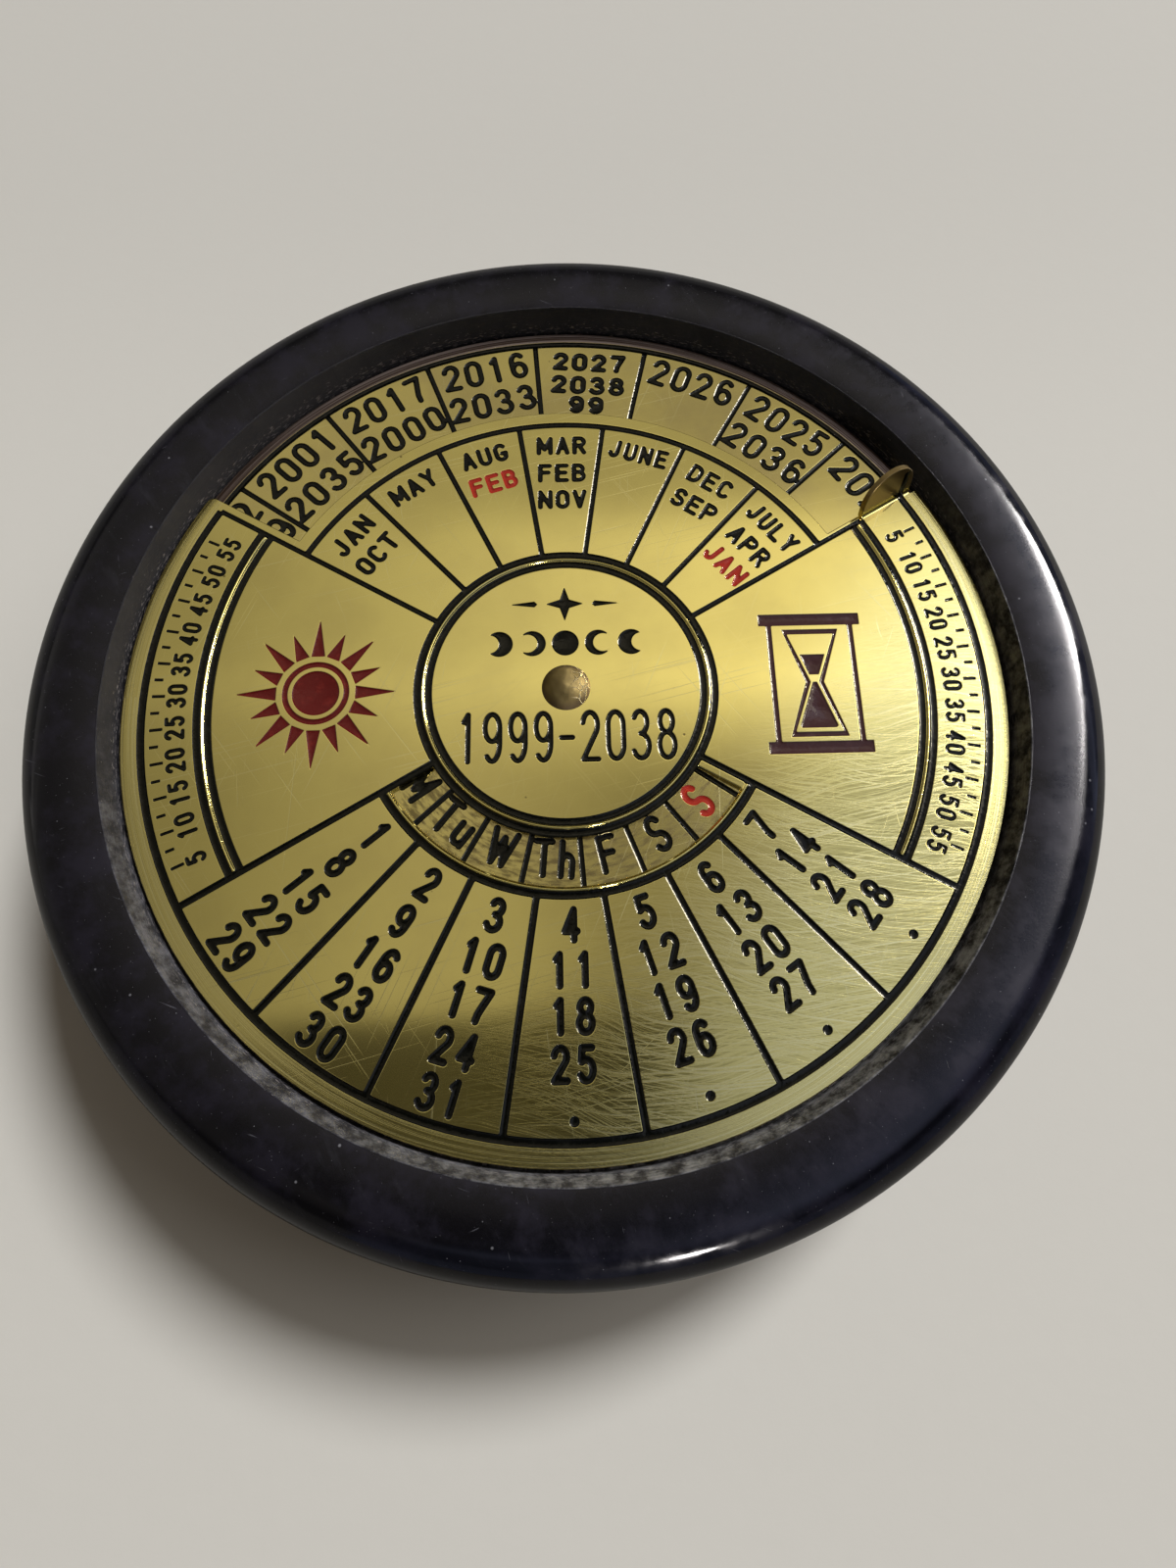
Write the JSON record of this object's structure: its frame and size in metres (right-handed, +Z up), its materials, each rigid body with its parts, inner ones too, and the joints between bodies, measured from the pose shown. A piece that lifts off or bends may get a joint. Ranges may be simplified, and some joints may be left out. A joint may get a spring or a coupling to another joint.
{
  "type": "perpetual desk calendar",
  "caption": "Round stone paperweight with a fixed brass year disc and a brass dial plate that turns on top of it about a rivet, moved by a bent-up thumb tab.",
  "frame": {"origin": "centre of the underside, on the surface that the calendar stands on", "axes": "+Z up along the dial's axis; +Y to twelve o'clock, the middle of the month columns; +X to the right"},
  "size_m": [0.093, 0.093, 0.0219],
  "materials": {
    "black_stone": "polished black marble with faint grey clouding and fine scratches",
    "green_felt": "dark green pressed felt",
    "adhesive": "cured adhesive, hidden",
    "brass_disc": "rubbed brass with concentric scratches",
    "brass_dial": "brushed and lacquered brass with fine scratches and specks",
    "rivet_brass": "darkened worn brass",
    "washer_steel": "plain",
    "black_enamel": "glossy black enamel with a hollow surface",
    "dark_red_enamel": "glossy dark red enamel",
    "dark_brown_enamel": "glossy dark brown enamel"
  },
  "bodies": {
    "base": {"stone_base": "black_stone", "felt_pad": "green_felt", "adhesive_layer": "adhesive", "year_disc": "brass_disc", "rivet": "rivet_brass", "tail_washer": "washer_steel", "disc_circle_enamel": "black_enamel", "year_cell_enamel": "black_enamel", "weekday_cell_enamel": "black_enamel"},
    "dial": {"dial_plate": "brass_dial", "rim_line_enamel": "black_enamel", "date_column_enamel": "black_enamel", "weekday_arc_enamel": "black_enamel", "month_arc_enamel": "black_enamel", "month_column_enamel": "black_enamel", "hub_ring_enamel": "black_enamel", "left_panel_enamel": "black_enamel", "right_panel_enamel": "black_enamel", "date_dot_enamel": "black_enamel", "tab_line_enamel": "black_enamel", "band_scale_enamel": "black_enamel", "moon_row_enamel": "black_enamel", "hub_star_enamel": "black_enamel", "sun_motif_enamel": "dark_red_enamel", "hourglass_motif_enamel": "dark_brown_enamel"}
  },
  "joints": [
    {"name": "dial_turn", "type": "hinge", "parent": "base", "child": "dial", "pos_m": [0, 0, 0.018], "axis": [0, 0, 1], "continuous": true}
  ]
}
